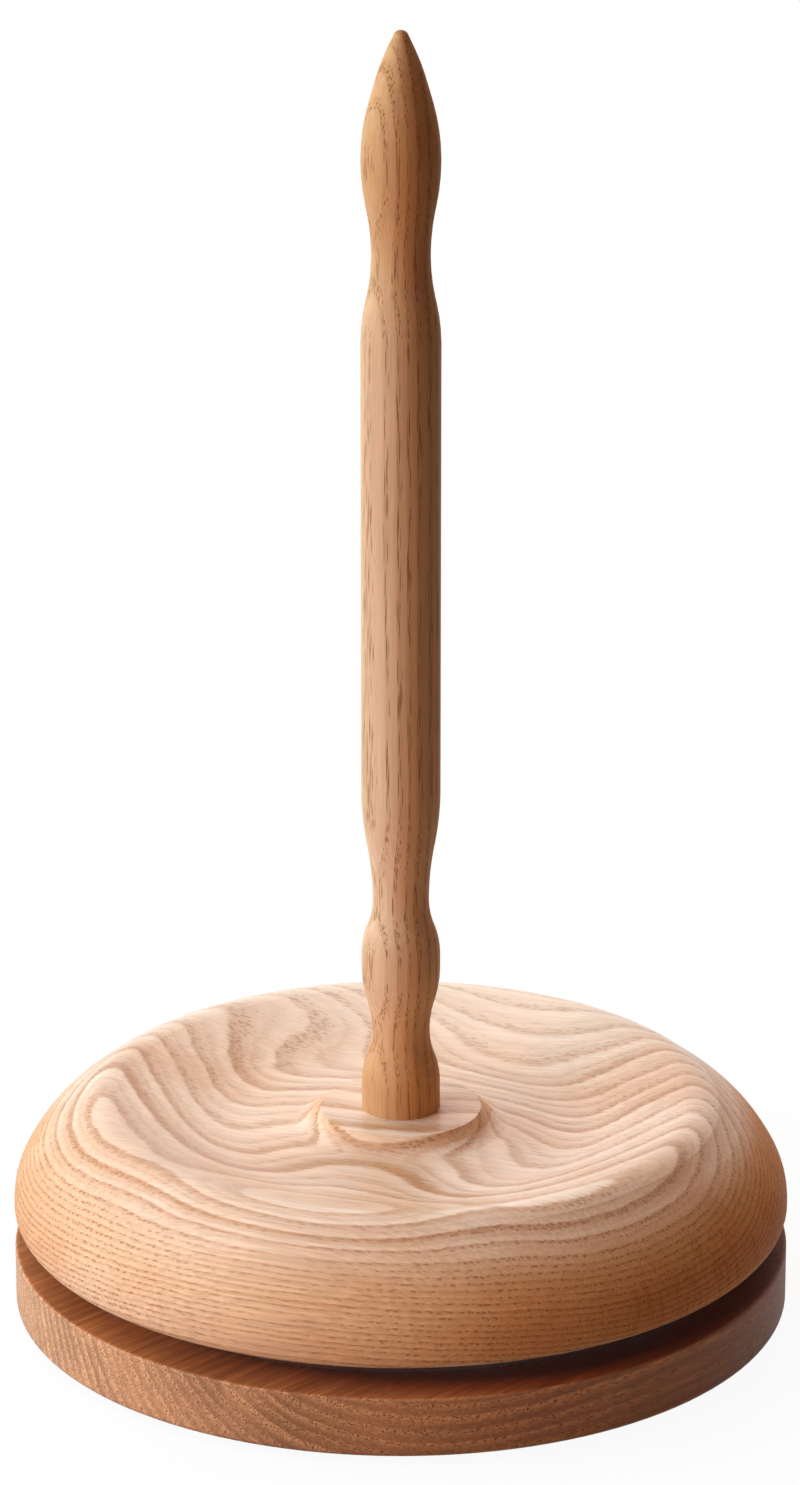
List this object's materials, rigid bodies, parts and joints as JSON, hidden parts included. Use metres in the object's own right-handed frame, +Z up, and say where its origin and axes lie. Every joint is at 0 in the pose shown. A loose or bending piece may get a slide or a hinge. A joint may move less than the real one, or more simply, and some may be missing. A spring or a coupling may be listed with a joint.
{
  "type": "yarn holder",
  "caption": "Turned wooden yarn holder: an upright spindle on a round dish that spins on a flat base disc, so a ball or cone of yarn turns freely as it is pulled.",
  "frame": {"origin": "centre of the turning axis on the table, under the feet", "axes": "+Z up along the spindle and the turning axis, -Y towards the viewer of the picture, +X to the viewer's right"},
  "size_m": [0.18, 0.18, 0.3041],
  "materials": {
    "base_wood": "open-pored satin wood, reddish brown",
    "dish_wood": "open-pored satin wood, pale tan with brown growth rings",
    "spindle_wood": "open-pored satin wood, tan with dark pore dashes",
    "ring_aluminium": "turned, satin",
    "screw_steel": "zinc plated",
    "ball_steel": "polished",
    "cage_nylon": "natural nylon",
    "foot_rubber": "matt"
  },
  "bodies": {
    "base": {"base_disc": "base_wood", "foot_front_left": "foot_rubber", "foot_front_right": "foot_rubber", "foot_back_right": "foot_rubber", "foot_back_left": "foot_rubber", "bearing_outer_ring": "ring_aluminium", "outer_ring_screws": "screw_steel"},
    "ball_set": {"ball_cage": "cage_nylon", "bearing_balls": "ball_steel"},
    "turntable": {"bearing_inner_ring": "ring_aluminium", "inner_ring_screws": "screw_steel", "dish": "dish_wood", "spindle": "spindle_wood"}
  },
  "joints": [
    {"name": "turntable_spin", "type": "hinge", "parent": "base", "child": "turntable", "pos_m": [0, 0, 0.0197], "axis": [0, 0, 1], "continuous": true},
    {"name": "ball_cage_spin", "type": "hinge", "parent": "base", "child": "ball_set", "pos_m": [0, 0, 0.0197], "axis": [0, 0, 1], "continuous": true}
  ],
  "couplings": [
    {"joint": "ball_cage_spin", "follows": "turntable_spin", "ratio": 0.4815}
  ]
}
